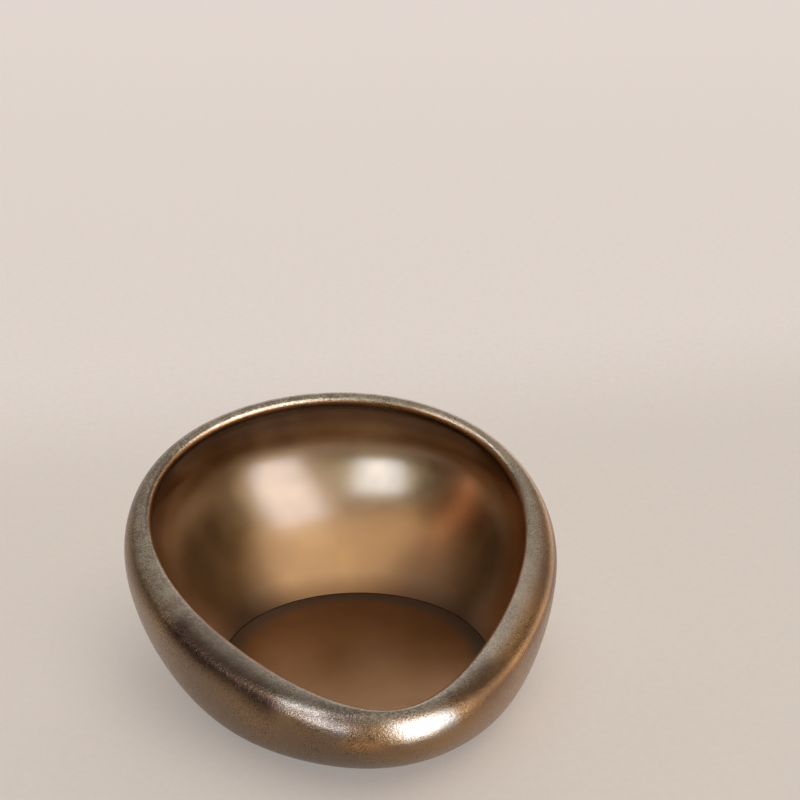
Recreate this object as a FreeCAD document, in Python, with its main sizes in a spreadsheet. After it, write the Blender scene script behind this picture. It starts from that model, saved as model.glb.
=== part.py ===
import FreeCAD, Part
import Sketcher
import math
import os

# A spouted bronze bowl. +Z is up and the spout points along -Y. The origin is in the middle of the
# felt pad's lower face, which is what the bowl rests on. Millimetres throughout.
#
# The wall is a stack of closed rings round the bowl, all mirrored about the plane X = 0. Four of them
# are named: the round foot, the belly (the widest), the crest of the lip and the round floor. Every
# other ring is worked out between two of these.

DIMENSIONS = [
    # alias, value, what it is
    ("foot_radius", 42.5, "radius where the wall leaves the underside"),
    ("underside_height", 1.5, "height of the underside above the rest face"),
    ("belly_half_width", 58.8, "belly ring, half of its width at mid length"),
    ("belly_half_length", 64, "belly ring, half of its length along Y"),
    ("belly_setback", 6, "belly ring, its middle lies this far behind the origin"),
    ("belly_taper", 0.27, "belly ring, how much it narrows to the spout"),
    ("belly_height", 27, "belly ring, height above the origin"),
    ("belly_tilt", 0.17, "belly ring, rise per millimetre towards the back"),
    ("belly_dip", 1.5, "belly ring, how far it dips at the spout"),
    ("crest_half_width", 51.4, "lip crest, half of its width at mid length"),
    ("crest_half_length", 60, "lip crest, half of its length along Y"),
    ("crest_setback", 7, "lip crest, its middle lies this far behind the origin"),
    ("crest_taper", 0.39, "lip crest, how much it narrows to the spout"),
    ("crest_height", 32.5, "lip crest, height above the origin"),
    ("crest_tilt", 0.265, "lip crest, rise per millimetre towards the back"),
    ("crest_lift", 6, "lip crest, extra rise at lift_length in front of and behind the origin"),
    ("lift_length", 60, "distance along Y at which crest_lift is reached"),
    ("underbelly_power", 1.7, "roundness of the wall from the foot to the belly"),
    ("spout_power", 1.5, "roundness of the shoulder at the spout, where it is nearly a flat bevel"),
    ("back_power", 2.9, "roundness of the shoulder at the back"),
    ("nose_radius", 2.2, "radius of the rounded lip"),
    ("wall_thickness", 5, "thickness of the whole wall at the belly"),
    ("inside_rise", 4.5, "how much higher the inside is widest than the outside, at the back"),
    ("inside_power", 1.75, "roundness of the inside from the floor to where it is widest"),
    ("floor_radius", 37.3, "radius where the inner wall meets the floor"),
    ("floor_height", 6, "height of the floor plate's upper face"),
    ("lining_thickness", 1.2, "thickness of the inner liner at the belly"),
    ("lining_foot", 2.1, "width of the inner liner's lower edge, outside floor_radius"),
    ("lining_drop", 3.8, "depth of the inner liner's upper edge below the crest"),
    ("plate_radius", 37.6, "upper radius of the floor plate"),
    ("plate_flange_radius", 39, "radius of the flange round the floor plate's lower half"),
    ("plate_flange_height", 4.6, "height of the flange's upper face"),
    ("plate_bottom_height", 3.5, "height of the floor plate's lower face"),
    ("plate_chamfer", 0.4, "chamfer round the floor plate's upper edge"),
    ("ring_outer_radius", 40.5, "outer radius of the foot ring"),
    ("ring_inner_radius", 36, "inner radius of the foot ring, and radius of the felt pad"),
    ("ring_bottom_height", 0.3, "height of the foot ring's lower face"),
    ("ring_round", 0.5, "rounding of the foot ring's lower edges"),
    ("tongue_outer_radius", 39.3, "outer radius of the foot ring's tongue"),
    ("tongue_inner_radius", 37.2, "inner radius of the foot ring's tongue"),
    ("tongue_top_height", 2.5, "height of the tongue's top"),
]

POINTS_PER_RING = 60
DIP_FALLOFF, BEVEL_FALLOFF, RISE_FALLOFF = 8, 6, 2    # how closely a feature keeps to the spout or the back
UNDERBELLY_STEPS, SHOULDER_STEPS, NOSE_STEPS = 8, 9, 6    # rings up the outside and round the lip
STEPS_ABOVE, STEPS_BELOW = 4, 6                           # rings down the inside, above and below the belly
LAST_TURN = -math.pi / 4                                  # where the rounded lip goes over into the inside
RISES_PAST_LIP = (0, 4, 8)    # the lining block stands upright past the lip
CLEAR_ABOVE = 75    # a height above everything
CLEAR_BESIDE = 90   # a distance outside everything
TOLERANCE = 1e-5    # lengths nearer than this are the same


# ---------------------------------------------------------------- document and driving dimensions

doc = FreeCAD.newDocument("spouted_bowl")
sheet = doc.addObject("Spreadsheet::Sheet", "dimensions")
for row, (alias, value, meaning) in enumerate(DIMENSIONS, start=1):
    sheet.set("A%d" % row, meaning)
    sheet.set("B%d" % row, str(value))
    sheet.setAlias("B%d" % row, alias)
doc.recompute()


def size(alias):
    """The value of one driving dimension."""
    return float(getattr(sheet, alias))


# ---------------------------------------------------------------- the rings

def turns():
    """Angles round a ring, from the middle of the back; 180 degrees is the spout."""
    return [2 * math.pi * i / POINTS_PER_RING for i in range(POINTS_PER_RING)]


def circle_ring(radius, height):
    return [FreeCAD.Vector(radius * math.sin(a), radius * math.cos(a), height) for a in turns()]


def egg_ring(half_width, half_length, setback, taper, height_at):
    """A closed outline that is broad at the back and narrows to the spout."""
    ring = []
    for a in turns():
        x = half_width * math.sin(a) * (1 + taper * math.cos(a))
        y = setback + half_length * math.cos(a)
        ring.append(FreeCAD.Vector(x, y, height_at(y)))
    return ring


def belly_height_at(y):
    return size("belly_height") + size("belly_tilt") * y


def crest_height_at(y):
    lift = size("crest_lift") * (y / size("lift_length")) ** 2
    return size("crest_height") + size("crest_tilt") * y + lift


def spout_shares(falloff):
    """For each point of a ring: 1 at the spout and 0 at the back, dropping faster with more falloff."""
    return [((1 - math.cos(a)) / 2) ** falloff for a in turns()]


def back_shares(falloff):
    """For each point of a ring: 1 at the back and 0 at the spout, dropping faster with more falloff."""
    return [((1 + math.cos(a)) / 2) ** falloff for a in turns()]


def belly_ring(inset, rise_at_back=0.0):
    """The widest ring, or the same ring drawn in by inset and raised at the back."""
    ring = egg_ring(size("belly_half_width") - inset, size("belly_half_length") - inset,
                    size("belly_setback"), size("belly_taper"), belly_height_at)
    for point, dip, rise in zip(ring, spout_shares(DIP_FALLOFF), back_shares(RISE_FALLOFF)):
        point.z += rise_at_back * rise - size("belly_dip") * dip
    return ring


def crest_ring():
    return egg_ring(size("crest_half_width"), size("crest_half_length"),
                    size("crest_setback"), size("crest_taper"), crest_height_at)


def grown(ring, distance, rise=0.0):
    """The ring moved sideways by distance, square to its own outline and outwards, and up by rise."""
    moved = []
    for i, point in enumerate(ring):
        ahead = ring[(i + 1) % len(ring)] - ring[i - 1]
        outward = FreeCAD.Vector(-ahead.y, ahead.x, 0).normalize()
        moved.append(point + outward * distance + FreeCAD.Vector(0, 0, rise))
    return moved


def between(low, high, across, up):
    """Goes from low to high: across and up, each 0 to 1, may be numbers or one number per point."""
    ring = []
    for i, (start, end) in enumerate(zip(low, high)):
        part_across = across[i] if isinstance(across, list) else across
        part_up = up[i] if isinstance(up, list) else up
        ring.append(FreeCAD.Vector(start.x + (end.x - start.x) * part_across,
                                   start.y + (end.y - start.y) * part_across,
                                   start.z + (end.z - start.z) * part_up))
    return ring


def underbelly_rings(foot, belly, steps):
    """The outside from the foot, which it leaves flat, out to the belly, where it stands upright."""
    power = 2 / size("underbelly_power")
    rings = []
    for i in range(steps):
        turn = math.pi / 2 * i / steps
        rings.append(between(foot, belly, math.sin(turn) ** power, 1 - math.cos(turn) ** power))
    return rings


def shoulder_rings(belly, crest, steps):
    """The outside from the belly, upright, in over the shoulder to the crest, where it lies flat."""
    powers = [2 / (size("back_power") + (size("spout_power") - size("back_power")) * share)
              for share in spout_shares(BEVEL_FALLOFF)]
    rings = []
    for i in range(steps):
        turn = math.pi / 2 * i / steps
        across = [1 - math.cos(turn) ** power for power in powers]
        up = [math.sin(turn) ** power for power in powers]
        rings.append(between(belly, crest, across, up))
    return rings


def nose_rings(crest, steps, last_turn):
    """The rounded lip, from its crest inwards and down to last_turn below the level."""
    radius = size("nose_radius")
    rings = []
    for i in range(steps + 1):
        turn = math.pi / 2 + (last_turn - math.pi / 2) * i / steps
        rings.append(grown(crest, -radius * math.cos(turn), -radius * (1 - math.sin(turn))))
    return rings


def inside_rings(floor, belly, lip, steps_above, steps_below):
    """The inside from the lip out to the belly, then in to the floor, where it meets the plate."""
    rings = []
    for i in range(1, steps_above):
        up = 1 - i / steps_above
        rings.append(between(belly, lip, up ** 2, up))
    for i in range(steps_below + 1):
        up = 1 - i / steps_below
        rings.append(between(floor, belly, 1 - (1 - up) ** size("inside_power"), up))
    return rings


# ---------------------------------------------------------------- making document objects

def poles_of(ring):
    """Poles of the smooth closed curve that runs through the ring's points."""
    poles = []
    for i, point in enumerate(ring):
        bend = ring[(i + 1) % len(ring)] + ring[i - 1] - point * 2
        poles.append(point - bend / 6)
    return poles


def skinned(name, rings):
    """A solid with one smooth skin over a stack of rings, closed by flat faces on the two end rings."""
    columns = [poles_of(ring) for ring in rings]
    poles = [[column[i] for column in columns] for i in range(POINTS_PER_RING)]
    spans_along = len(rings) - 3
    skin = Part.BSplineSurface()
    skin.buildFromPolesMultsKnots(poles, [1] * (POINTS_PER_RING + 1), [4] + [1] * (spans_along - 1) + [4],
                                  list(range(POINTS_PER_RING + 1)), list(range(spans_along + 1)),
                                  True, False, 3, 3)
    face = skin.toShape()
    ends = [edge for edge in face.Edges if edge.BoundBox.ZLength < TOLERANCE]
    caps = [Part.Face(Part.Wire([edge])) for edge in ends]
    shell = Part.Shell([face] + caps)
    shell.sewShape()
    feature = doc.addObject("Part::Feature", name)
    feature.Shape = Part.Solid(shell)
    return feature


def boolean(kind, name, base, tool):
    feature = doc.addObject("Part::" + kind, name)
    feature.Base = base
    feature.Tool = tool
    return feature


def origin_plane(body, role):
    return next(f for f in body.Origin.OriginFeatures if f.Role == role)


def turned_body(name, corners):
    """A body turned about Z. corners are (radius alias, height alias) pairs round its half section."""
    body = doc.addObject("PartDesign::Body", name)
    sketch = body.newObject("Sketcher::SketchObject", name + "_section")
    sketch.AttachmentSupport = (origin_plane(body, "XZ_Plane"), [""])
    sketch.MapMode = "FlatFace"
    places = [FreeCAD.Vector(size(r) if r else 0, size(z) if z else 0, 0) for r, z in corners]
    count = len(places)
    for i in range(count):
        sketch.addGeometry(Part.LineSegment(places[i], places[(i + 1) % count]), False)
    for i in range(count):
        sketch.addConstraint(Sketcher.Constraint("Coincident", i, 2, (i + 1) % count, 1))
    for i, (radius, height) in enumerate(corners):
        for kind, alias, place in (("X", radius, places[i].x), ("Y", height, places[i].y)):
            if alias:
                index = sketch.addConstraint(Sketcher.Constraint("Distance" + kind, -1, 1, i, 1, place))
                sketch.setExpression("Constraints[%d]" % index, "dimensions." + alias)
            else:
                on_axis = -2 if kind == "X" else -1
                sketch.addConstraint(Sketcher.Constraint("PointOnObject", i, 1, on_axis))
    doc.recompute()
    turned = body.newObject("PartDesign::Revolution", name + "_turned")
    turned.Profile = sketch
    turned.ReferenceAxis = (sketch, ["V_Axis"])
    turned.Angle = 360
    body.Tip = turned
    doc.recompute()
    return body


def cylinder(name, radius, bottom, top):
    """An upright cylinder on the Z axis. radius, bottom and top are expressions of the sheet's cells."""
    solid = doc.addObject("Part::Cylinder", name)
    solid.setExpression("Radius", radius)
    solid.setExpression("Height", "%s - (%s)" % (top, bottom))
    solid.setExpression("Placement.Base.z", bottom)
    return solid


def edges_at(shape, radius, height):
    """Names of the round edges of a turned shape at one radius and height."""
    found = []
    for i, edge in enumerate(shape.Edges, start=1):
        if not isinstance(edge.Curve, Part.Circle):
            continue
        if abs(edge.Curve.Radius - radius) < TOLERANCE and abs(edge.Curve.Center.z - height) < TOLERANCE:
            found.append("Edge%d" % i)
    return found


# ---------------------------------------------------------------- the round pieces below

def make_floor_disc():
    """The floor plate, stepped so that the liner stands on its flange."""
    body = turned_body("floor_disc", [
        (None, "plate_bottom_height"), ("plate_flange_radius", "plate_bottom_height"),
        ("plate_flange_radius", "plate_flange_height"), ("plate_radius", "plate_flange_height"),
        ("plate_radius", "floor_height"), (None, "floor_height")])
    turned = body.Tip
    rim = edges_at(turned.Shape, size("plate_radius"), size("floor_height"))
    chamfer = body.newObject("PartDesign::Chamfer", "floor_disc_chamfer")
    chamfer.Base = (turned, rim)
    chamfer.setExpression("Size", "dimensions.plate_chamfer")
    doc.recompute()
    return body


def make_foot_ring():
    """The ring under the base, with the tongue that sits in the shell's groove."""
    body = turned_body("foot_ring", [
        ("ring_inner_radius", "ring_bottom_height"), ("ring_outer_radius", "ring_bottom_height"),
        ("ring_outer_radius", "underside_height"), ("tongue_outer_radius", "underside_height"),
        ("tongue_outer_radius", "tongue_top_height"), ("tongue_inner_radius", "tongue_top_height"),
        ("tongue_inner_radius", "underside_height"), ("ring_inner_radius", "underside_height")])
    turned = body.Tip
    low = size("ring_bottom_height")
    rims = edges_at(turned.Shape, size("ring_outer_radius"), low)
    rims += edges_at(turned.Shape, size("ring_inner_radius"), low)
    fillet = body.newObject("PartDesign::Fillet", "foot_ring_rounds")
    fillet.Base = (turned, rims)
    fillet.setExpression("Radius", "dimensions.ring_round")
    doc.recompute()
    return body


def make_felt_pad():
    """The felt disc inside the foot ring, glued to the underside."""
    return cylinder("felt_pad", "dimensions.ring_inner_radius", "0 mm", "dimensions.underside_height * 1 mm")


# ---------------------------------------------------------------- the wall

def make_whole_bowl():
    """Shell, liner and floor as one solid, from which the pieces are parted."""
    foot = circle_ring(size("foot_radius"), size("underside_height"))
    floor = circle_ring(size("floor_radius"), size("floor_height"))
    belly = belly_ring(0)
    nose = nose_rings(crest_ring(), NOSE_STEPS, LAST_TURN)
    rings = underbelly_rings(foot, belly, UNDERBELLY_STEPS)
    rings += shoulder_rings(belly, crest_ring(), SHOULDER_STEPS)
    rings += nose
    inner_belly = belly_ring(size("wall_thickness"), size("inside_rise"))
    rings += inside_rings(floor, inner_belly, nose[-1], STEPS_ABOVE, STEPS_BELOW)
    return skinned("whole_bowl", rings)


def make_lining_block():
    """The space inside the back of the liner, carried on upwards past the mouth."""
    foot = circle_ring(size("floor_radius") + size("lining_foot"), size("plate_flange_height"))
    belly = belly_ring(size("wall_thickness") - size("lining_thickness"), size("inside_rise"))
    lip = grown(nose_rings(crest_ring(), 1, LAST_TURN)[-1], size("lining_thickness"))
    rings = inside_rings(foot, belly, lip, STEPS_ABOVE, STEPS_BELOW)[::-1]
    rings += [grown(lip, 0, rise) for rise in RISES_PAST_LIP]
    rings.append([FreeCAD.Vector(point.x, point.y, CLEAR_ABOVE) for point in lip])
    return skinned("lining_block", rings)


def make_below_lip():
    """Everything below the liner's upper edge, which runs parallel to the crest."""
    def edge_point(y):
        return FreeCAD.Vector(-CLEAR_BESIDE, y, crest_height_at(y) - size("lining_drop"))
    slope = size("crest_tilt") - 2 * size("crest_lift") * CLEAR_BESIDE / size("lift_length") ** 2
    front, back = edge_point(-CLEAR_BESIDE), edge_point(CLEAR_BESIDE)
    middle = FreeCAD.Vector(-CLEAR_BESIDE, 0, front.z + slope * CLEAR_BESIDE)
    arc = Part.BezierCurve()
    arc.setPoles([front, middle, back])
    low_back = FreeCAD.Vector(-CLEAR_BESIDE, CLEAR_BESIDE, -CLEAR_BESIDE)
    low_front = FreeCAD.Vector(-CLEAR_BESIDE, -CLEAR_BESIDE, -CLEAR_BESIDE)
    outline = Part.Wire([arc.toShape(), Part.makeLine(back, low_back),
                         Part.makeLine(low_back, low_front), Part.makeLine(low_front, front)])
    profile = doc.addObject("Part::Feature", "below_lip_profile")
    profile.Shape = Part.Face(outline)
    block = doc.addObject("Part::Extrusion", "below_lip")
    block.Base = profile
    block.Dir = (1, 0, 0)
    block.LengthFwd = 2 * CLEAR_BESIDE
    block.Solid = True
    return block


floor_disc = make_floor_disc()
foot_ring = make_foot_ring()
felt_pad = make_felt_pad()
whole_bowl = make_whole_bowl()
lining = boolean("Common", "lining", make_lining_block(), make_below_lip())
plate_room = cylinder("plate_room", "dimensions.plate_radius", "dimensions.plate_flange_height * 1 mm",
                      "(dimensions.floor_height + dimensions.plate_chamfer) * 1 mm")
inner_liner = boolean("Cut", "inner_liner", boolean("Common", "lined_wall", whole_bowl, lining), plate_room)
unlined = boolean("Cut", "unlined", whole_bowl, lining)
open_shell = boolean("Cut", "open_shell", unlined, plate_room)
seated_shell = boolean("Cut", "seated_shell", open_shell, floor_disc)
outer_shell = boolean("Cut", "outer_shell", seated_shell, foot_ring)

SUB_PARTS = [outer_shell, inner_liner, floor_disc, foot_ring, felt_pad]
for sub_part in SUB_PARTS:
    sub_part.Label = sub_part.Name
doc.recompute()


# ---------------------------------------------------------------- checks and files

for item in doc.Objects:
    if "Invalid" in item.State or "Error" in item.State:
        raise RuntimeError("%s failed to build: %s" % (item.Name, item.State))
for sub_part in SUB_PARTS:
    shape = sub_part.Shape
    if shape.isNull() or not shape.isValid() or len(shape.Solids) != 1:
        raise RuntimeError("%s isn't one valid solid" % sub_part.Label)
    box = shape.BoundBox
    print("%-12s %9.1f mm3  X %.2f to %.2f  Y %.2f to %.2f  Z %.2f to %.2f" % (
        sub_part.Label, shape.Volume, box.XMin, box.XMax, box.YMin, box.YMax, box.ZMin, box.ZMax))

os.makedirs("parts", exist_ok=True)
for sub_part in SUB_PARTS:
    sub_part.Shape.exportStep("parts/%s.step" % sub_part.Label)
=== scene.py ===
import math

import bpy
import numpy as np
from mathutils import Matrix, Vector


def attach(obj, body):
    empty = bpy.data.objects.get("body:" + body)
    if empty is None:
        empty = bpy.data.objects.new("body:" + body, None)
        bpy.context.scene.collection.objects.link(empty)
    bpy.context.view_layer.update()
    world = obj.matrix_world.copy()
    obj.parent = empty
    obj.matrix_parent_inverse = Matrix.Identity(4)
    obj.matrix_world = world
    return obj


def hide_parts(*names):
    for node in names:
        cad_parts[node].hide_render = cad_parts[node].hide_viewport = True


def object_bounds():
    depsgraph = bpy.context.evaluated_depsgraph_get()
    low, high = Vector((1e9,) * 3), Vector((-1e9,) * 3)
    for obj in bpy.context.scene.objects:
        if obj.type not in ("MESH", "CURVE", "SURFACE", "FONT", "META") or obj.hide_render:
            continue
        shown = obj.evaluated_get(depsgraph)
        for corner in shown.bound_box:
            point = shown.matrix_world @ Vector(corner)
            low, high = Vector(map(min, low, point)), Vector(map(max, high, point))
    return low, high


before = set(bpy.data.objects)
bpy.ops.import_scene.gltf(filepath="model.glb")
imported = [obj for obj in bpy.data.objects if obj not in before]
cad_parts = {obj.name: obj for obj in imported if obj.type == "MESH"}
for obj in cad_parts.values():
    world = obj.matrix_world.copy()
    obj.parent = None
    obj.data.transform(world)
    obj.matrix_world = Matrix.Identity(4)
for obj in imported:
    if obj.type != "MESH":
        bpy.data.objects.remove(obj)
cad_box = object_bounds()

# The spouted bowl in one frame with its CAD model: +Z up, the spout along -Y, metres. The wall is worked
# out in millimetres, as in the CAD source, and scaled when a mesh is made.
#
# The wall is a skin over a stack of rings. A row is a place along the skin, as a number that grows by
# about 1 from ring to ring: 0 is at the foot, CREST_ROW on top of the lip and LAST_ROW at the floor. The
# meshes are stacks of loops, which are finer: a loop has one point on every meridian.

MM = 0.001
RING_POINTS = 60    # points in each ring that steers the wall
MERIDIANS = 240     # points in each loop of a mesh
QUARTER_TURN = math.pi / 2

# Dimensions of the CAD source, in millimetres
FOOT_RADIUS, UNDERSIDE = 42.5, 1.5
BELLY_HALF_WIDTH, BELLY_HALF_LENGTH, BELLY_SETBACK, BELLY_TAPER = 58.8, 64, 6, 0.27
BELLY_HEIGHT, BELLY_TILT, BELLY_DIP = 27, 0.17, 1.5
CREST_HALF_WIDTH, CREST_HALF_LENGTH, CREST_SETBACK, CREST_TAPER = 51.4, 60, 7, 0.39
CREST_HEIGHT, CREST_TILT, CREST_LIFT, LIFT_LENGTH = 32.5, 0.265, 6, 60
UNDERBELLY_POWER, BACK_POWER, SPOUT_POWER = 1.7, 2.9, 1.5
NOSE_RADIUS, LAST_TURN = 2.2, -math.pi / 4
WALL, INSIDE_RISE, INSIDE_POWER = 5.0, 4.5, 1.75
FLOOR_RADIUS, FLOOR_HEIGHT = 37.3, 6.0
LINING, LINING_FOOT, LINING_DROP = 1.2, 2.1, 3.8
PLATE_RADIUS, PLATE_CHAMFER, PLATE_BOTTOM = 37.6, 0.4, 3.5
FLANGE_RADIUS, FLANGE_TOP = 39.0, 4.6
TONGUE_OUTER, TONGUE_INNER, TONGUE_TOP = 39.3, 37.2, 2.5

# How the CAD source spaces its rings
DIP_FALLOFF, BEVEL_FALLOFF, RISE_FALLOFF = 8, 6, 2    # how closely a feature keeps to the spout or the back
UNDERBELLY_STEPS, SHOULDER_STEPS, NOSE_STEPS = 8, 9, 6
STEPS_ABOVE, STEPS_BELOW = 4, 6                       # down the inside, above and below the belly
RISES_PAST_LIP, CLEAR_ABOVE = (0, 4, 8), 75           # the liner's back stands upright past the lip
CREST_ROW = UNDERBELLY_STEPS + SHOULDER_STEPS - 1
LIP_ROW = CREST_ROW + NOSE_STEPS
LAST_ROW = LIP_ROW + STEPS_ABOVE + STEPS_BELOW - 1

# Where the pieces are parted, in rows
SEAM_LOOKED_FOR = (LIP_ROW - 2, LIP_ROW + 4)
LINING_TOP_LOOKED_FOR = (5, 11)
PLACES_TRIED = 1200
END_GAP = 0.005          # the liner's face stops this far short of the skin's end
ALMOST_NOTHING = 1e-9    # keeps the end of a skin within its last span

# How fine the meshes are
OUTSIDE_LOOPS, LIP_LOOPS, LINING_LOOPS, FACE_LOOPS, FLOOR_LOOPS = 80, 24, 30, 60, 60
HUB_RADIUS, FLOOR_HUB_RADIUS = 4, 2       # the smallest loop of a flat face, inside which it is a fan
ROUNDED, CRISP, SOFT = 50, 30, 80         # an edge that turns more than this is drawn sharp, in degrees

# The felt disc: its section in millimetres, from the middle of its top over its rounded edge
PAD_TOP_RADII, PAD_TOP = (1, 9, 18, 27, 34), 1.5
PAD_EDGE = ((35.2, 1.5), (35.8, 1.3), (36.0, 0.9), (36.0, 0.6), (35.8, 0.2))
PAD_REST_RADII = (35.2, 34, 31, 28, 25, 22, 19, 16, 13, 10, 7, 4, 1)
PAD_UNEVENNESS, PAD_SEED = 0.05, 7

# Where the patina changes, and where dark reflection, sheen and shade are painted, in millimetres on the
# bowl
RUBBED_AT = np.array([-9.5, -56.5, 16.3])        # a spot under the spout where the patina is rubbed away
RUBBED_FALLOFF = np.array([0.05, 0.05, 0.35])    # how fast it fades along X, Y and Z
DARK_REFLECTION_WIDTH, PAINTED_SHEEN_WIDTH = 3.8, 2.4
DARK_REFLECTION_BANDS = (    # painted dark reflection: how dark, then the points of a line along the shoulder
    (1.0, ((-50, -12, 29), (-45.3, -21.7, 26.4), (-40.9, -27.6, 25.5), (-36.6, -33.5, 24.3),
           (-31, -41, 22.0))),
    (0.6, ((-15.5, -51.5, 21.5), (-9, -54.3, 21))),
    (0.6, ((17, -50.5, 22.6), (21, -46.5, 23.2), (27, -40, 24.2))),
)
PAINTED_SHEEN_BANDS = (    # painted sheen that whitens the highlights there, in the same way
    (1.0, ((-28, -43, 23.2), (-23.1, -46.2, 22.6), (-18.8, -50, 21.2), (-14.3, -53.2, 19.8))),
    (0.8, ((-1, -56, 20), (5.7, -55.3, 20.3), (12.7, -53.1, 20.8))),
    (0.9, ((3, -56.7, 17.6), (9, -55.8, 18.0), (14.5, -53.5, 18.6))),
)
SIDES_FROM, SIDES_OVER, SIDES_MOST = 0.4, 0.4, 0.8    # painted shade on the liner at both sides, by the sine round it
LEFT_FROM, LEFT_OVER = 17, 11                         # and on the left, by the distance from the middle

# Where the patina changes, and where the painted shade on the lip's underside sets in, in rows. A tone sets
# in at FROM and is full after OVER, or after FADE if it has no OVER. At UNTIL it begins to go, and is gone
# after FADE.
GREY_FROM, GREY_OVER, GREY_UNTIL = 13.5, 2.5, 16.6
GREY_LOWER_AT_SPOUT, GREY_LOWER_ON_LEFT, SPOUT_FALLOFF = 1.5, 3.5, 4
GREY_FURTHER_IN_AT_BACK, BACK_FALLOFF = 2.4, 2
LINE_FROM, LINE_UNTIL, DEEP_FROM, FADE = 16.3, 19.8, 20.2, 1.0

# How strong the rim's tone is: on the liner by the share of the way down, where at the top it is painted
# shade under the lip and at the foot it darkens the liner by the floor, and on the floor by the radius
LINER_RIM_AT, LINER_RIM = (0, 0.12, 0.24, 0.965, 1), (1, 0.8, 0, 0, 0.9)
FLOOR_RIM_AT, FLOOR_RIM = (31.0, 34.5, PLATE_RADIUS), (0, 0.9, 1)

ring_angles = 2 * np.pi * np.arange(RING_POINTS) / RING_POINTS    # from the middle of the back
mesh_angles = 2 * np.pi * np.arange(MERIDIANS) / MERIDIANS


# ---------------------------------------------------------------- the wall's rings

def spout_share(falloff, angles=ring_angles):
    """1 at the spout and 0 at the back, dropping faster with more falloff."""
    return ((1 - np.cos(angles)) / 2) ** falloff


def back_share(falloff, angles=ring_angles):
    """1 at the back and 0 at the spout, dropping faster with more falloff."""
    return ((1 + np.cos(angles)) / 2) ** falloff


def circle(radius, height, angles=ring_angles):
    return np.stack([radius * np.sin(angles), radius * np.cos(angles), np.full(len(angles), height)], 1)


def egg(half_width, half_length, setback, taper, height_at):
    """A closed outline that is broad at the back and narrows to the spout."""
    x = half_width * np.sin(ring_angles) * (1 + taper * np.cos(ring_angles))
    y = setback + half_length * np.cos(ring_angles)
    return np.stack([x, y, height_at(y)], 1)


def belly_height(y):
    return BELLY_HEIGHT + BELLY_TILT * y


def crest_height(y):
    return CREST_HEIGHT + CREST_TILT * y + CREST_LIFT * (y / LIFT_LENGTH) ** 2


def belly(inset, rise=0.0):
    """The widest ring, drawn in by inset and raised at the back by rise."""
    half_width, half_length = BELLY_HALF_WIDTH - inset, BELLY_HALF_LENGTH - inset
    ring = egg(half_width, half_length, BELLY_SETBACK, BELLY_TAPER, belly_height)
    ring[:, 2] += rise * back_share(RISE_FALLOFF)
    ring[:, 2] -= BELLY_DIP * spout_share(DIP_FALLOFF)
    return ring


def grown(ring, distance, rise=0.0):
    """The ring moved outwards by distance, square to its own outline, and up by rise."""
    ahead = np.roll(ring, -1, 0) - np.roll(ring, 1, 0)
    outward = np.stack([-ahead[:, 1], ahead[:, 0], np.zeros(len(ring))], 1)
    outward /= np.linalg.norm(outward, axis=1, keepdims=True)
    return ring + outward * distance + [0, 0, rise]


def between(low, high, across, up):
    """A ring between two others. across and up go from 0 to 1, as one number or one for each point."""
    share = np.stack([np.broadcast_to(across, len(low))] * 2 + [np.broadcast_to(up, len(low))], 1)
    return low + (high - low) * share


def nose_ring(turn):
    """A ring of the rounded lip. turn is a quarter turn at its crest and falls towards the inside."""
    crest = egg(CREST_HALF_WIDTH, CREST_HALF_LENGTH, CREST_SETBACK, CREST_TAPER, crest_height)
    return grown(crest, -NOSE_RADIUS * math.cos(turn), -NOSE_RADIUS * (1 - math.sin(turn)))


def inside_rings(foot, widest, lip):
    """Rings from just below the lip out to the widest ring and in to the foot."""
    rings = [between(widest, lip, up ** 2, up) for up in 1 - np.arange(1, STEPS_ABOVE) / STEPS_ABOVE]
    for up in 1 - np.arange(STEPS_BELOW + 1) / STEPS_BELOW:
        rings.append(between(foot, widest, 1 - (1 - up) ** INSIDE_POWER, up))
    return rings


def wall_rings():
    """Rings from the foot up the outside, over the lip and down the inside to the floor."""
    foot, floor = circle(FOOT_RADIUS, UNDERSIDE), circle(FLOOR_RADIUS, FLOOR_HEIGHT)
    widest, crest = belly(0), nose_ring(QUARTER_TURN)
    rings = []
    power = 2 / UNDERBELLY_POWER
    for turn in QUARTER_TURN * np.arange(UNDERBELLY_STEPS) / UNDERBELLY_STEPS:
        rings.append(between(foot, widest, math.sin(turn) ** power, 1 - math.cos(turn) ** power))
    power = 2 / (BACK_POWER - (BACK_POWER - SPOUT_POWER) * spout_share(BEVEL_FALLOFF))
    for turn in QUARTER_TURN * np.arange(SHOULDER_STEPS) / SHOULDER_STEPS:
        rings.append(between(widest, crest, 1 - math.cos(turn) ** power, math.sin(turn) ** power))
    rings += [nose_ring(turn) for turn in np.linspace(QUARTER_TURN, LAST_TURN, NOSE_STEPS + 1)]
    return np.array(rings + inside_rings(floor, belly(WALL, INSIDE_RISE), rings[-1]))


def lining_rings():
    """Rings up the back of the liner from its foot, carried on upright past the lip."""
    foot = circle(FLOOR_RADIUS + LINING_FOOT, FLANGE_TOP)
    lip = grown(nose_ring(LAST_TURN), LINING)
    rings = inside_rings(foot, belly(WALL - LINING, INSIDE_RISE), lip)[::-1]
    rings += [lip + [0, 0, rise] for rise in RISES_PAST_LIP]
    return np.array(rings + [lip * [1, 1, 0] + [0, 0, CLEAR_ABOVE]])


# ---------------------------------------------------------------- the skin over the rings

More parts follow.
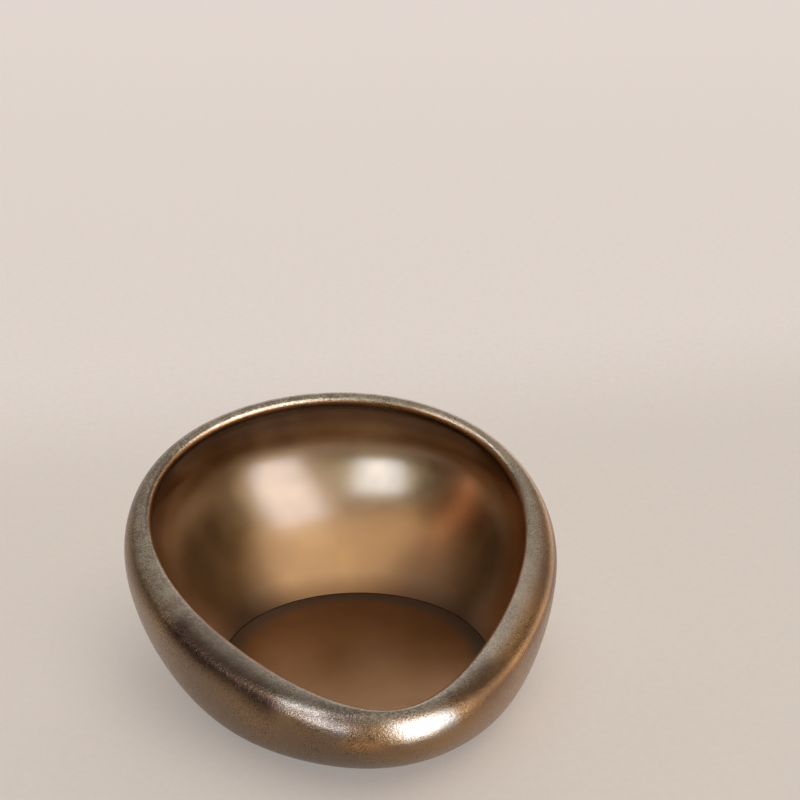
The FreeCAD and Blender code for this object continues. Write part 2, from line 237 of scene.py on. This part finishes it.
def weights_along(t, count):
    """Weights of count poles of a clamped uniform cubic spline at each t."""
    last = count - 3
    knots = np.concatenate([[0] * 3, np.arange(last + 1), [last] * 3]).astype(float)
    t = np.clip(t, 0, last - ALMOST_NOTHING)[:, None]
    weights = ((knots[:-1] <= t) & (t < knots[1:])).astype(float)
    for degree in (1, 2, 3):
        rise = knots[degree:-1] - knots[:-degree - 1]
        fall = knots[degree + 1:] - knots[1:-degree]
        left = np.where(rise > 0, (t - knots[:-degree - 1]) / np.where(rise > 0, rise, 1), 0)
        right = np.where(fall > 0, (knots[degree + 1:] - t) / np.where(fall > 0, fall, 1), 0)
        weights = left * weights[:, :-1] + right * weights[:, 1:]
    return weights


def meridian_poles(rings):
    """The poles of the skin's section at every meridian of the mesh: [pole, meridian, xyz]."""
    bend = np.roll(rings, -1, 1) + np.roll(rings, 1, 1) - 2 * rings
    poles = rings - bend / 6    # a uniform cubic spline passes its poles at a sixth of the bend
    place = mesh_angles / (2 * np.pi) * RING_POINTS
    first, f = np.floor(place).astype(int), (place % 1)[:, None]
    # six times the weights of a uniform cubic spline's four nearest poles
    shares = ((1 - f) ** 3, 3 * f ** 3 - 6 * f ** 2 + 4, -3 * f ** 3 + 3 * f ** 2 + 3 * f + 1, f ** 3)
    return sum(poles[:, (first + k - 1) % RING_POINTS] * share / 6 for k, share in enumerate(shares))


wall_skin = meridian_poles(wall_rings())
lining_skin = meridian_poles(lining_rings())


def skin_loop(row, skin=wall_skin):
    """The loop of a skin at a row. row is one number, or one for each meridian."""
    row = np.broadcast_to(np.asarray(row, float), MERIDIANS)
    return np.einsum("mp,pmk->mk", weights_along(row, len(skin)), skin)


def first_row_where(skin, looked_for, reached):
    """The first row of the skin, on each meridian, where reached is true of the loop's point there."""
    rows = np.linspace(*looked_for, PLACES_TRIED)
    return rows[np.argmax([reached(skin_loop(row, skin)) for row in rows], axis=0)]


def below_seam(loop):
    return loop[:, 2] < crest_height(loop[:, 1]) - LINING_DROP


def above_seam(loop):
    return ~below_seam(loop)


# Shell and liner meet at the seam, inside the lip
seam = first_row_where(wall_skin, SEAM_LOOKED_FOR, below_seam)
lining_top = first_row_where(lining_skin, LINING_TOP_LOOKED_FOR, above_seam)
floor_edge = LAST_ROW - END_GAP


# ---------------------------------------------------------------- meshes

def tube_faces(loop_count, joined):
    """Four-sided faces between neighbouring loops, and between the last and the first if joined."""
    around = np.arange(MERIDIANS)
    faces = []
    for low in range(loop_count if joined else loop_count - 1):
        a = low * MERIDIANS + around
        b = (low + 1) % loop_count * MERIDIANS + around
        faces += np.stack([a, b, np.roll(b, -1), np.roll(a, -1)], 1).tolist()
    return faces


def fan_faces(loop_count):
    """Triangles from the first and the last loop to two middle points that come after all loops."""
    around = np.arange(MERIDIANS)
    end = (loop_count - 1) * MERIDIANS + around
    first, last = loop_count * MERIDIANS, loop_count * MERIDIANS + 1
    faces = np.stack([np.full(MERIDIANS, first), around, np.roll(around, -1)], 1).tolist()
    return faces + np.stack([np.full(MERIDIANS, last), np.roll(end, -1), end], 1).tolist()


def lathe(name, loops, joined, masks=None, sharp=ROUNDED):
    """A closed piece over loops of points. It is joined end to start, or closed by a fan at each end.

    A mask has a value for each loop, or for each point of each loop. Materials read it by its name."""
    points = np.concatenate(loops)
    faces = tube_faces(len(loops), joined)
    if not joined:
        points = np.concatenate([points, [loops[0].mean(0)], [loops[-1].mean(0)]])
        faces += fan_faces(len(loops))
    mesh = bpy.data.meshes.new(name)
    mesh.from_pydata(np.clip(points * MM, *cad_box).tolist(), [], faces)
    mesh.validate()
    mesh.polygons.foreach_set("use_smooth", [True] * len(mesh.polygons))
    mesh.set_sharp_from_angle(angle=math.radians(sharp))
    for key, values in (masks or {}).items():
        flat = np.concatenate([np.broadcast_to(value, MERIDIANS) for value in values])
        if not joined:
            flat = np.concatenate([flat, [flat[0], flat[-1]]])
        mesh.attributes.new(key, "FLOAT", "POINT").data.foreach_set("value", flat.astype(np.float32))
    mesh.update()
    piece = bpy.data.objects.new(name, mesh)
    bpy.context.scene.collection.objects.link(piece)
    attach(piece, "root")
    return piece


def climb(value, start, length):
    """0 up to start, then rising evenly to 1 over the length."""
    return np.clip((value - start) / length, 0, 1)


def near_line(loop, line, width):
    """1 on a line through some places, dropping to 0 at about twice the width from it."""
    distances = []
    for start, end in zip(np.array(line[:-1], float), np.array(line[1:], float)):
        share = np.clip((loop - start) @ (end - start) / ((end - start) @ (end - start)), 0, 1)
        distances.append(np.linalg.norm(loop - start - share[:, None] * (end - start), axis=1))
    return np.exp(-(np.min(distances, 0) / width) ** 2)


def near_bands(loop, bands, width):
    return sum(strength * near_line(loop, line, width) for strength, line in bands)


def circles(profile):
    """A round loop for each radius and height of a profile."""
    return [circle(radius, height, mesh_angles) for radius, height in profile]


def lining_loops():
    """Loops up the back of the liner, where the shell touches it."""
    return [skin_loop(lining_top * share, lining_skin) for share in np.linspace(0, 1, LINING_LOOPS)]


def shell_masks(loops, rows):
    """Masks of the outside's patina. rows says where on the skin each loop lies."""
    lower_at_spout = GREY_LOWER_AT_SPOUT * spout_share(SPOUT_FALLOFF, mesh_angles)
    on_left = spout_share(1, mesh_angles) * np.clip(-np.sin(mesh_angles), 0, 1)
    grey_from = GREY_FROM - lower_at_spout - GREY_LOWER_ON_LEFT * on_left
    further_in = GREY_FURTHER_IN_AT_BACK * back_share(BACK_FALLOFF, mesh_angles)
    grey_until, line_from = GREY_UNTIL + further_in, LINE_FROM + further_in
    return {
        "lip": [climb(row, grey_from, GREY_OVER) * (1 - climb(row, grey_until, FADE)) for row in rows],
        "line": [climb(row, line_from, FADE) * (1 - climb(row, LINE_UNTIL, FADE)) for row in rows],
        # painted shade on the lip's underside
        "deep": climb(rows, DEEP_FROM, FADE),
        "rub": [np.exp(-((loop - RUBBED_AT) ** 2 @ RUBBED_FALLOFF)) for loop in loops],
        # painted dark reflection and painted sheen along the shoulder
        "dark": [near_bands(loop, DARK_REFLECTION_BANDS, DARK_REFLECTION_WIDTH) for loop in loops],
        "silver": [near_bands(loop, PAINTED_SHEEN_BANDS, PAINTED_SHEEN_WIDTH) for loop in loops],
    }


def make_shell():
    """From the middle of the underside out past the groove for the foot ring's tongue, up the outside, over
    the lip, down behind the liner and into the recess for the floor plate."""
    under = circles([(HUB_RADIUS, UNDERSIDE), (TONGUE_INNER, UNDERSIDE), (TONGUE_INNER, TONGUE_TOP),
                     (TONGUE_OUTER, TONGUE_TOP), (TONGUE_OUTER, UNDERSIDE)])
    outside = np.linspace(0, CREST_ROW, OUTSIDE_LOOPS)
    shown = [skin_loop(row) for row in outside]
    for share in np.linspace(0, 1, LIP_LOOPS + 1)[1:]:
        shown.append(skin_loop(CREST_ROW + (seam - CREST_ROW) * share))
    recess = circles([(FLANGE_RADIUS, FLANGE_TOP), (FLANGE_RADIUS, PLATE_BOTTOM),
                      (HUB_RADIUS, PLATE_BOTTOM)])
    hidden = lining_loops()[::-1] + recess
    loops = under + shown + hidden
    # The masks take the seam to be at LIP_ROW all round. What is out of sight has the foot's row, which has
    # no grey, line or painted shade under the lip.
    over_lip = np.linspace(CREST_ROW, LIP_ROW, LIP_LOOPS + 1)[1:]
    rows = np.concatenate([np.zeros(len(under)), outside, over_lip, np.zeros(len(hidden))])
    return lathe("bowl_shell", loops, joined=False, masks=shell_masks(loops, rows))


def make_liner():
    """Down the face from the seam, round the foot beside the floor plate, and up the back."""
    shares = np.linspace(0, 1, FACE_LOOPS)
    loops = [skin_loop(seam + (floor_edge - seam) * share) for share in shares]
    loops += circles([(PLATE_RADIUS, FLOOR_HEIGHT - PLATE_CHAMFER), (PLATE_RADIUS, FLANGE_TOP)])
    loops += lining_loops()
    rim = np.zeros(len(loops))
    rim[:FACE_LOOPS] = np.interp(shares, LINER_RIM_AT, LINER_RIM)
    # painted shade on the liner's sides, and more on its left
    both_sides_shade = SIDES_MOST * climb(np.abs(np.sin(mesh_angles)), SIDES_FROM, SIDES_OVER)
    side = [np.maximum(both_sides_shade, climb(-loop[:, 0], LEFT_FROM, LEFT_OVER)) for loop in loops]
    return lathe("bowl_liner", loops, joined=True, masks={"rim": rim, "side": side}, sharp=CRISP)


def make_floor():
    """From the middle of the plate's underside round its flange and chamfer to the middle of its top."""
    edge = circles([(HUB_RADIUS, PLATE_BOTTOM), (FLANGE_RADIUS, PLATE_BOTTOM), (FLANGE_RADIUS, FLANGE_TOP),
                    (PLATE_RADIUS, FLANGE_TOP), (PLATE_RADIUS, FLOOR_HEIGHT - PLATE_CHAMFER)])
    radii = np.linspace(PLATE_RADIUS - PLATE_CHAMFER, FLOOR_HUB_RADIUS, FLOOR_LOOPS)
    top = circles([(radius, FLOOR_HEIGHT) for radius in radii])
    rim = np.concatenate([np.ones(len(edge)), np.interp(radii, FLOOR_RIM_AT, FLOOR_RIM)])
    return lathe("bowl_floor", edge + top, joined=False, masks={"rim": rim}, sharp=CRISP)


def make_pad():
    """The felt disc under the base, with soft edges and a faintly uneven surface that rests at z = 0."""
    fuzz = np.random.default_rng(PAD_SEED)
    top = circles([(radius, PAD_TOP) for radius in PAD_TOP_RADII])
    rest = circles([(radius, 0.0) for radius in PAD_REST_RADII])
    for loop in rest:
        loop[:, 2] += fuzz.uniform(0, PAD_UNEVENNESS, MERIDIANS)
    rest[-1][:, 2] = 0
    loops = top + circles(PAD_EDGE) + rest
    return lathe("base_felt", loops[::-1], joined=False, sharp=SOFT)


shell, liner, floor_plate, pad = make_shell(), make_liner(), make_floor(), make_pad()
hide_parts("outer_shell")
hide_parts("inner_liner")
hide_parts("floor_disc")
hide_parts("felt_pad")


# ---------------------------------------------------------------- materials

# Colours are linear. Noise scales are per metre, and places and bump depths are in metres.
GOLD_DEEP, GOLD_LIGHT, GOLD_STREAK = (0.31, 0.16, 0.053), (0.37, 0.195, 0.068), (0.31, 0.15, 0.055)
FLOOR_SHADE_BROWN, SIDE_SHADE_BROWN = (0.08, 0.028, 0.006), (0.125, 0.052, 0.015)
LINER_SHADE_BROWN, FLOOR_RIM_GREY = (0.12, 0.062, 0.035), (0.115, 0.10, 0.084)
BROWN_DEEP, BROWN_LIGHT, BROWN_GREYED = (0.18, 0.094, 0.042), (0.36, 0.19, 0.062), (0.20, 0.145, 0.09)
GREY_DEEP, GREY_LIGHT = (0.15, 0.10, 0.064), (0.25, 0.215, 0.145)
GREY_FRONT_LEFT, GREY_RIGHT = (0.085, 0.062, 0.045), (0.30, 0.24, 0.165)
PAINTED_SHEEN_GREY, BARE_LINE, UNDER_LIP_SHADE_BROWN = (0.25, 0.225, 0.205), (0.30, 0.135, 0.045), (0.09, 0.045, 0.02)
RUBBED, DARK_REFLECTION_COLOUR, FLECK = (0.50, 0.25, 0.09), (0.055, 0.034, 0.030), (0.035, 0.022, 0.015)
FELT_DEEP, FELT_LIGHT = (0.045, 0.036, 0.029), (0.085, 0.07, 0.056)
TURNED_DEEP, TURNED_LIGHT, TURNING_MARKS = (0.17, 0.10, 0.055), (0.29, 0.175, 0.09), 22000.0
CLOTH_NEAR, CLOTH_FAR, CLOTH_BEYOND_PAINTED_LIGHT = (0.585, 0.528, 0.472), (0.725, 0.668, 0.645), (0.81, 0.752, 0.745)
CLOTH_FIBRE, CLOTH_PAINTED_GLOW, PAINTED_GLOW_STRENGTH = (0.40, 0.35, 0.30), (1.0, 0.93, 0.88, 1), 0.285


class Graph:
    """Adds nodes to a node tree. A socket given as another node's output is linked, a plain value is set."""

    def __init__(self, tree):
        self.tree = tree

    def add(self, kind, output=0, settings=None, **sockets):
        """Adds a node and returns one output. Inputs go by name, or by number with a _ in front."""
        node = self.tree.nodes.new("ShaderNode" + kind)
        for key, value in (settings or {}).items():
            setattr(node, key, value)
        for key, value in sockets.items():
            wanted = int(key[1:]) if key[1:].isdigit() else key.replace("_", " ")
            self.plug(node.inputs[wanted], value)
        return node.outputs[output]

    def plug(self, socket, value):
        if isinstance(value, bpy.types.NodeSocket):
            self.tree.links.new(value, socket)
        elif isinstance(value, tuple) and socket.type == "RGBA":
            socket.default_value = (*value, 1)
        else:
            socket.default_value = value

    def axis(self, letter, coordinates="Object"):
        """X, Y or Z of the place on a piece or, for the world's colour, of the direction."""
        return self.add("SeparateXYZ", letter, Vector=self.add("TexCoord", coordinates))

    def noise(self, scale, detail, roughness=0.5):
        place = self.add("TexCoord", "Object")
        return self.add("TexNoise", Vector=place, Scale=scale, Detail=detail, Roughness=roughness)

    def mask(self, name):
        return self.add("Attribute", "Fac", {"attribute_name": name})

    def ramp(self, value, low, high, to_low=0.0, to_high=1.0):
        """Goes smoothly from to_low, where value is low or less, to to_high, where it is high or more."""
        return self.add("MapRange", settings={"interpolation_type": "SMOOTHSTEP"}, Value=value,
                        From_Min=low, From_Max=high, To_Min=to_low, To_Max=to_high)

    def stops(self, value, places):
        """A colour that follows value through (place, colour) stops."""
        node = self.tree.nodes.new("ShaderNodeValToRGB")
        ramp = node.color_ramp
        while len(ramp.elements) < len(places):
            ramp.elements.new(0.5)
        for element, (place, colour) in zip(ramp.elements, places):
            element.position = place
            element.color = (*colour, 1)
        self.plug(node.inputs["Fac"], value)
        return node.outputs["Color"]

    def math(self, operation, a, b=0.0):
        return self.add("Math", settings={"operation": operation}, _0=a, _1=b)

    def times(self, a, b):
        return self.math("MULTIPLY", a, b)

    def mix(self, share, a, b, blend="MIX"):
        return self.add("Mix", 2, {"data_type": "RGBA", "blend_type": blend}, _0=share, _6=a, _7=b)

    def bump(self, height, depth, strength):
        return self.add("Bump", Height=height, Distance=depth, Strength=strength)


def new_material(name):
    made = bpy.data.materials.new(name)
    made.use_nodes = True
    return made, Graph(made.node_tree), made.node_tree.nodes["Principled BSDF"].inputs


def make_inside_bronze(name, depth, rim_tone, coat):
    """Rough bronze under a smooth clear coat. depth darkens the whole colour towards a brown as painted
    shade: the floor is browner.
    """
    made, g, shader = new_material(name)
    cloud, streak = g.noise(70, 3), g.noise(24, 2)
    tone = g.mix(g.ramp(cloud, 0.35, 0.7), GOLD_DEEP, GOLD_LIGHT)
    tone = g.mix(g.ramp(streak, 0.45, 0.75, 0, 0.5), tone, GOLD_STREAK)
    tone = g.mix(depth, tone, FLOOR_SHADE_BROWN)
    # painted shade: browner and darker at the sides
    tone = g.mix(g.times(g.mask("side"), 0.5), tone, SIDE_SHADE_BROWN)
    # the rim's tone: on the liner painted shade under the lip and a darker foot by the floor, on the floor a
    # grey round its edge
    tone = g.mix(g.times(g.mask("rim"), 0.8), tone, rim_tone)
    g.plug(shader["Base Color"], tone)
    shader["Metallic"].default_value = 1.0
    # the coat is thinner where the rim's tone and the painted side shade lie
    dulled = g.math("MAXIMUM", g.mask("rim"), g.times(g.mask("side"), 0.8))
    g.plug(shader["Coat Weight"], g.ramp(dulled, 0.0, 1.0, coat, 0.25 * coat))
    shader["Coat IOR"].default_value = 1.75
    shader["Coat Roughness"].default_value = 0.20
    g.plug(shader["Roughness"], g.ramp(g.noise(160, 4), 0.3, 0.7, 0.28, 0.34))
    g.plug(shader["Normal"], g.bump(g.noise(700, 1), depth=0.00001, strength=0.3))
    return made


def make_outside_bronze():
    """Sandy brown bronze with a greyed lip, bands of painted dark reflection and of painted sheen, painted
    shade under the lip, a bare line and dark flecks.
    """
    made, g, shader = new_material("grained_bronze")
    # band is the painted dark reflection, silver the painted sheen
    lip, line, band, silver = g.mask("lip"), g.mask("line"), g.mask("dark"), g.mask("silver")
    grain, flecks, patches = g.noise(1500, 3, 0.6), g.noise(2600, 2, 0.6), g.noise(90, 2)
    x, y = g.axis("X"), g.axis("Y")
    # the brown below the lip, greyer on the left
    brown = g.mix(g.ramp(g.noise(45, 3), 0.3, 0.7), BROWN_DEEP, BROWN_LIGHT)
    brown = g.mix(g.ramp(x, -0.02, 0.03, 0.5, 0.0), brown, BROWN_GREYED)
    # the mottled grey of the lip, darker at the front left and lighter on the right
    mottle = g.math("ADD", g.times(g.noise(260, 3), 0.5), g.times(g.noise(1300, 2), 0.5))
    grey = g.mix(g.ramp(mottle, 0.43, 0.57), GREY_DEEP, GREY_LIGHT)
    front_left = g.times(g.ramp(x, -0.045, 0.005, 0.72, 0.0), g.ramp(y, -0.025, 0.01, 1.0, 0.0))
    grey = g.mix(front_left, grey, GREY_FRONT_LEFT)
    grey = g.mix(g.ramp(x, 0.015, 0.045, 0.0, 0.5), grey, GREY_RIGHT)
    # the two together, then what lies over them, from below upwards
    tone = g.mix(lip, brown, grey)
    # painted sheen: paler grey metal where the highlights fall on the shoulder and tip, which whitens them
    tone = g.mix(g.times(silver, 0.8), tone, PAINTED_SHEEN_GREY)
    tone = g.mix(g.times(line, 0.85), tone, BARE_LINE)
    # painted shade on the lip's underside, which faces down into the bowl
    tone = g.mix(g.times(g.mask("deep"), 0.9), tone, UNDER_LIP_SHADE_BROWN)
    tone = g.mix(g.times(g.mask("rub"), 0.8), tone, RUBBED)
    # painted dark reflection along the shoulder, broken up by the grain
    tone = g.mix(g.times(band, g.ramp(grain, 0.35, 0.6, 0.97, 0.84)), tone, DARK_REFLECTION_COLOUR)
    flecked = g.times(g.ramp(flecks, 0.38, 0.52, 1.0, 0.0), g.ramp(patches, 0.42, 0.62, 0.2, 0.8))
    g.plug(shader["Base Color"], g.mix(flecked, tone, FLECK))
    shader["Metallic"].default_value = 1.0
    shader["Coat IOR"].default_value = 1.8
    # the coat is strongest on the lip and the painted sheen bands, and thin on the painted dark reflection
    # bands
    glaze = g.ramp(g.math("MAXIMUM", lip, silver), 0.0, 1.0, 0.36, 0.90)
    glaze = g.times(glaze, g.ramp(band, 0.0, 0.9, 1.0, 0.12))
    glaze = g.times(glaze, g.ramp(line, 0.0, 1.0, 1.0, 0.35))
    glaze = g.times(glaze, g.ramp(front_left, 0.0, 0.72, 1.0, 0.5))
    g.plug(shader["Coat Weight"], glaze)
    # the coat is smoother on the painted sheen
    smoother = g.ramp(silver, 0.0, 1.0, 1.0, 0.6)
    g.plug(shader["Coat Roughness"], g.times(g.ramp(grain, 0.3, 0.6, 0.30, 0.16), smoother))
    g.plug(shader["Roughness"], g.ramp(g.noise(700, 2), 0.3, 0.7, 0.30, 0.40))
    g.plug(shader["Normal"], g.bump(grain, depth=0.0002, strength=0.6))
    g.plug(shader["Coat Normal"], g.bump(flecks, depth=0.00015, strength=0.5))
    return made


def make_felt():
    made, g, shader = new_material("felt")
    fibres = g.noise(900, 5, 0.7)
    g.plug(shader["Base Color"], g.mix(g.ramp(fibres, 0.3, 0.7), FELT_DEEP, FELT_LIGHT))
    g.plug(shader["Roughness"], g.ramp(fibres, 0.3, 0.7, 0.85, 1.0))
    shader["Sheen Weight"].default_value = 0.4
    g.plug(shader["Normal"], g.bump(fibres, depth=0.0003, strength=0.8))
    return made


def make_turned_bronze():
    """Darker bare bronze with fine turning marks round the Z axis."""
    made, g, shader = new_material("turned_bronze")
    x, y, z = g.axis("X"), g.axis("Y"), g.axis("Z")
    radius = g.math("SQRT", g.math("ADD", g.times(x, x), g.times(y, y)))
    marks = g.math("SINE", g.times(g.math("ADD", radius, z), TURNING_MARKS))
    wear = g.noise(220, 4)
    g.plug(shader["Base Color"], g.mix(g.ramp(wear, 0.35, 0.65), TURNED_DEEP, TURNED_LIGHT))
    shader["Metallic"].default_value = 1.0
    g.plug(shader["Roughness"], g.ramp(wear, 0.3, 0.7, 0.34, 0.5))
    g.plug(shader["Normal"], g.bump(marks, depth=0.00001, strength=0.5))
    return made


shell.data.materials.append(make_outside_bronze())
# the liner's rim tone is painted shade under the lip
liner.data.materials.append(make_inside_bronze("satin_bronze", 0.0, LINER_SHADE_BROWN, coat=1.0))
# the floor's darker, browner tone is painted shade
floor_plate.data.materials.append(make_inside_bronze("floor_bronze", 0.56, FLOOR_RIM_GREY, coat=0.22))
pad.data.materials.append(make_felt())
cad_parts["foot_ring"].material_slots[0].material = make_turned_bronze()


# ---------------------------------------------------------------- stage, lights and camera

TABLE_REACH = 4.0    # from the middle of the table to its edges, metres

# The colour of the surroundings by the direction's Z, at the sides, behind and in front. It stays the same
# below the horizon.
ROOM_SIDES = ((0.0, (0.38, 0.345, 0.31)), (0.36, (0.36, 0.325, 0.29)), (0.48, (0.07, 0.06, 0.05)),
              (0.74, (0.09, 0.08, 0.07)), (0.88, (0.46, 0.42, 0.38)), (1.0, (0.55, 0.51, 0.47)))
ROOM_BACK = ((0.0, (0.70, 0.66, 0.63)), (0.55, (1.05, 0.98, 0.92)), (0.82, (0.95, 0.88, 0.82)),
             (0.94, (0.50, 0.46, 0.42)), (1.0, (0.55, 0.51, 0.47)))
ROOM_FRONT = ((0.0, (0.07, 0.065, 0.06)), (0.7, (0.16, 0.145, 0.13)), (0.9, (0.45, 0.41, 0.37)),
              (1.0, (0.55, 0.51, 0.47)))

CAMERA_AT = (-0.0875, -0.4690, 0.3000)
CAMERA_TILT, CAMERA_TURN = 65.755, -12.02    # degrees, from straight down and about Z
LENS, SENSOR_WIDTH = 90, 36


def make_stage():
    """A pale cloth that lightens away from the camera, furthest back as painted light, and glows faintly as
    painted light.
    """
    mesh = bpy.data.meshes.new("table_top")
    corners = [(-1, -1), (1, -1), (1, 1), (-1, 1)]
    mesh.from_pydata([(TABLE_REACH * x, TABLE_REACH * y, 0) for x, y in corners], [], [(0, 1, 2, 3)])
    table = bpy.data.objects.new("table_top", mesh)
    bpy.context.scene.collection.objects.link(table)
    made, g, shader = new_material("table_cloth")
    y = g.axis("Y")
    weave, fibres = g.noise(1100, 2), g.noise(420, 5, 0.7)
    cloth = g.mix(g.ramp(y, 0.12, 0.24), CLOTH_NEAR, CLOTH_FAR)
    # painted light: lighter further back, where the lamps' light falls off
    cloth = g.mix(g.ramp(y, 0.3, 1.0), cloth, CLOTH_BEYOND_PAINTED_LIGHT)
    cloth = g.mix(g.ramp(fibres, 0.35, 0.65, 0.0, 0.12), cloth, CLOTH_FIBRE)
    g.plug(shader["Base Color"], cloth)
    # the cloth glows though it is no lamp: painted light that fills its shade
    shader["Emission Color"].default_value = CLOTH_PAINTED_GLOW
    shader["Emission Strength"].default_value = PAINTED_GLOW_STRENGTH
    shader["Roughness"].default_value = 0.9
    shader["Specular IOR Level"].default_value = 0.2
    g.plug(shader["Normal"], g.bump(weave, depth=0.0002, strength=0.3))
    mesh.materials.append(made)
    return table


def make_room():
    """The colour of the surroundings by direction: brightest behind the bowl, and brighter to its right."""
    world = bpy.data.worlds.new("room")
    bpy.context.scene.world = world
    world.use_nodes = True
    g = Graph(world.node_tree)
    x, y, z = (g.axis(letter, "Generated") for letter in "XYZ")
    colour = g.mix(g.ramp(y, -0.75, -0.35), g.stops(z, ROOM_FRONT), g.stops(z, ROOM_SIDES))
    colour = g.mix(g.ramp(y, 0.45, 0.8), colour, g.stops(z, ROOM_BACK))
    doubled = g.mix(1.0, colour, colour, "ADD")
    colour = g.mix(g.ramp(x, -0.3, 0.5, 0.0, 0.9), colour, doubled)
    g.plug(world.node_tree.nodes["Background"].inputs["Color"], colour)


def make_window(name, azimuth, elevation, width, height, distance, colour, radiance, only):
    """A soft light that faces the bowl and lights only some pieces. azimuth 0 is on the spout's side and
    grows towards +X."""
    data = bpy.data.lights.new(name, "AREA")
    data.shape = "RECTANGLE"
    data.size = width
    data.size_y = height
    data.color = colour
    data.energy = radiance * math.pi * width * height
    lamp = bpy.data.objects.new(name, data)
    a, e = math.radians(azimuth), math.radians(elevation)
    lamp.location = (distance * math.sin(a), -distance * math.cos(a), distance * math.tan(e))
    lamp.rotation_euler = (math.pi / 2 - e, 0, a)
    lamp.visible_camera = False
    bpy.context.scene.collection.objects.link(lamp)
    lit = bpy.data.collections.new(name + "_lights")
    for piece in only:
        lit.objects.link(piece)
    lamp.light_linking.receiver_collection = lit


def make_camera():
    camera = bpy.data.objects.new("camera", bpy.data.cameras.new("camera"))
    camera.data.lens = LENS
    camera.data.sensor_width = SENSOR_WIDTH
    camera.location = CAMERA_AT
    camera.rotation_euler = (math.radians(CAMERA_TILT), 0, math.radians(CAMERA_TURN))
    bpy.context.scene.collection.objects.link(camera)
    bpy.context.scene.camera = camera


table = make_stage()
make_room()
inside = [liner, floor_plate]
windows = (
    # name, azimuth and elevation (degrees), width, height and level distance (metres), colour, radiance,
    # and the pieces it lights
    ("window_a", 25, 27, 1.05, 2.8, 2.5, (0.61, 0.76, 1.0), 4.9, inside),
    ("window_b", -17, 26, 0.95, 1.7, 2.5, (0.50, 0.71, 1.0), 6.6, inside),
    ("skylight", 8, 68, 3.20, 1.2, 1.1, (1.0, 0.84, 0.52), 0.88, inside),
    ("left_low", -41, 30, 0.85, 1.15, 2.5, (0.97, 0.95, 0.97), 10.0, [shell]),
    ("left_high", -68, 60, 0.80, 0.64, 1.3, (0.96, 0.95, 0.96), 10.0, [shell]),
    ("right_low", 31, 22, 1.90, 1.9, 2.5, (0.95, 0.97, 0.98), 9.2, [shell]),
    ("right_side", 110, 8, 3.0, 1.5, 2.5, (1.0, 0.82, 0.60), 1.2, [shell]),
    ("table_light", 60, 70, 2.8, 2.8, 1.0, (1.0, 0.97, 0.95), 0.58, [table]),
    ("warm_panel", -70, 33, 0.60, 3.2, 2.5, (1.0, 0.50, 0.27), 1.1, [liner]),
)
for window in windows:
    make_window(*window)
make_camera()
bpy.context.scene.view_settings.view_transform = "Standard"
